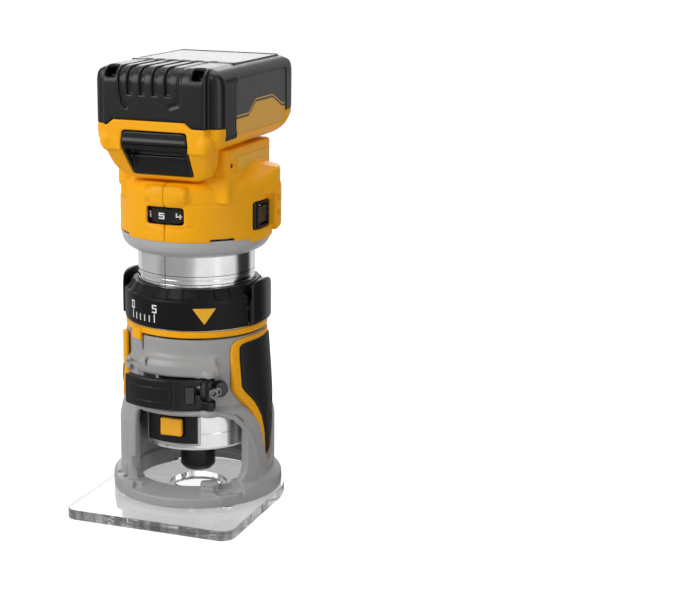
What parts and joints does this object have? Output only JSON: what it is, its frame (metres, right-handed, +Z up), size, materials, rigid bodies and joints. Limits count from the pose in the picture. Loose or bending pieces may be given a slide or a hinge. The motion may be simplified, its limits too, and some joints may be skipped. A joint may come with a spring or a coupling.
{
  "type": "trim router",
  "caption": "Cordless trim router: aluminium motor in a grey split-sleeve fixed base with locking lever, depth ring, clear sub-base and slide-on battery pack.",
  "frame": {"origin": "the spindle axis where it meets the underside of the clear sub-base, which is the centre of the guide bush seat's mouth", "axes": "+Z up along the spindle axis towards the battery; -Y to the front, where the speed dial, locking lever and battery release are; +X to the side with the power switch"},
  "size_m": [0.1048, 0.1335, 0.2625],
  "materials": {
    "casting_grey": "warm grey satin powder coat",
    "shell_yellow": "fine satin moulded plastic",
    "shell_black": "satin black moulded plastic with a fine grain",
    "grip_rubber": "soft black rubber with shallow dimples",
    "clear_acrylic": "clear polished acrylic with bright edges",
    "barrel_aluminium": "bright drawn and machined, fine turning lines",
    "steel": "bright ground steel",
    "dark_steel": "black oxide",
    "insert_grey": "mid grey moulded plastic",
    "button_yellow": "satin yellow moulded plastic",
    "switch_rubber": "dark grey flexible switch cover",
    "label_grey": "pale grey printed foil",
    "label_dark": "dark grey and yellow printed foil",
    "plate_yellow": "yellow printed foil",
    "copper": "enamelled copper windings",
    "board_green": "solder resist",
    "cell_wrap": "shrink wrap",
    "contact_brass": "plated contact strip"
  },
  "bodies": {
    "base": {"base_casting": "casting_grey", "trim_band": "shell_yellow", "grip_edging_right": "shell_yellow", "grip_edging_left": "shell_yellow", "rubber_grip_right": "grip_rubber", "rubber_grip_left": "grip_rubber", "sub_base": "clear_acrylic", "sub_base_screws": "steel", "guide_pins": "steel", "lever_pivot_pin": "dark_steel", "clamp_plunger": "dark_steel", "adjusting_screw": "dark_steel", "split_clamp_screw": "steel"},
    "lever": {"locking_lever": "shell_black", "lever_insert": "insert_grey"},
    "carriage": {"thrust_washer": "steel"},
    "ring": {"depth_ring": "shell_black", "tab_hinge_pins": "steel", "tab_springs": "steel"},
    "tab_right": {"release_tab_right": "shell_black"},
    "tab_left": {"release_tab_left": "shell_black"},
    "motor": {"motor_barrel": "barrel_aluminium", "barrel_collar": "casting_grey", "vent_ring": "shell_black", "head_shell_left": "shell_yellow", "head_shell_right": "shell_yellow", "head_screws": "dark_steel", "rating_plate": "plate_yellow", "terminal_block": "shell_black", "controller_board": "board_green", "stator": "copper", "lower_bearing": "steel", "upper_bearing": "steel", "lock_housing": "shell_black", "lock_spring": "steel", "switch_frame": "shell_black", "switch_body": "shell_black", "dial_potentiometer": "insert_grey"},
    "dial": {"speed_dial": "shell_black"},
    "rocker": {"power_rocker": "switch_rubber"},
    "lock_button": {"spindle_lock_button": "button_yellow"},
    "spindle": {"spindle_shaft": "steel", "rotor_core": "dark_steel", "cooling_fan": "shell_black", "lock_disc": "steel", "collet": "steel", "collet_nut": "dark_steel"},
    "battery": {"pack_top_shell": "shell_black", "pack_bottom_shell": "shell_yellow", "pack_top_label": "label_grey", "pack_side_label_right": "label_dark", "pack_side_label_left": "label_dark", "pack_screws": "dark_steel", "battery_cells": "cell_wrap", "cell_holder": "shell_black", "pack_terminals": "contact_brass", "release_pocket": "shell_black", "release_spring": "steel"},
    "battery_button": {"release_button": "shell_black"}
  },
  "joints": [
    {"name": "lever_swing", "type": "hinge", "parent": "base", "child": "lever", "pos_m": [0.024, -0.0375, 0.0738], "axis": [0, 0, 1], "range_deg": [0, 110]},
    {"name": "motor_lift_off", "type": "slide", "parent": "base", "child": "carriage", "axis": [0, 0, 1], "range_m": [0, 0.1]},
    {"name": "ring_turn", "type": "hinge", "parent": "carriage", "child": "ring", "pos_m": [0, 0, 0.12], "axis": [0, 0, 1], "range_deg": [-680, 370]},
    {"name": "motor_depth", "type": "slide", "parent": "carriage", "child": "motor", "axis": [0, 0, 1], "range_m": [-0.0131, 0.0241]},
    {"name": "tab_press_right", "type": "hinge", "parent": "ring", "child": "tab_right", "pos_m": [0.0383, 0, 0.121], "axis": [0, -1, 0], "range_deg": [0, 6], "stiffness_Nm_per_rad": 0.5, "springref_deg": -5.73},
    {"name": "tab_press_left", "type": "hinge", "parent": "ring", "child": "tab_left", "pos_m": [-0.0383, 0, 0.121], "axis": [0, 1, 0], "range_deg": [0, 6], "stiffness_Nm_per_rad": 0.5, "springref_deg": -5.73},
    {"name": "battery_slide", "type": "slide", "parent": "motor", "child": "battery", "axis": [0, -1, 0], "range_m": [0, 0.1]},
    {"name": "battery_release", "type": "slide", "parent": "battery", "child": "battery_button", "axis": [0, 1, 0], "range_m": [0, 0.003], "stiffness_N_per_m": 600, "springref_m": -0.002, "deforming": ["release_spring"]},
    {"name": "dial_turn", "type": "hinge", "parent": "motor", "child": "dial", "pos_m": [-0.0005, -0.0273, 0.1774], "axis": [0, 0, 1], "range_deg": [-146, 73]},
    {"name": "power_rock", "type": "hinge", "parent": "motor", "child": "rocker", "pos_m": [0.041, -0.003, 0.175], "axis": [0, -1, 0], "range_deg": [0, 12]},
    {"name": "spindle_lock_press", "type": "slide", "parent": "motor", "child": "lock_button", "axis": [0, 1, 0], "range_m": [0, 0.003], "stiffness_N_per_m": 600, "springref_m": -0.002, "deforming": ["lock_spring"]},
    {"name": "spindle_spin", "type": "hinge", "parent": "motor", "child": "spindle", "pos_m": [0, 0, 0.09], "axis": [0, 0, 1], "continuous": true}
  ],
  "couplings": [
    {"joint": "motor_depth", "follows": "ring_turn", "m_per_rad": -0.0020213}
  ]
}
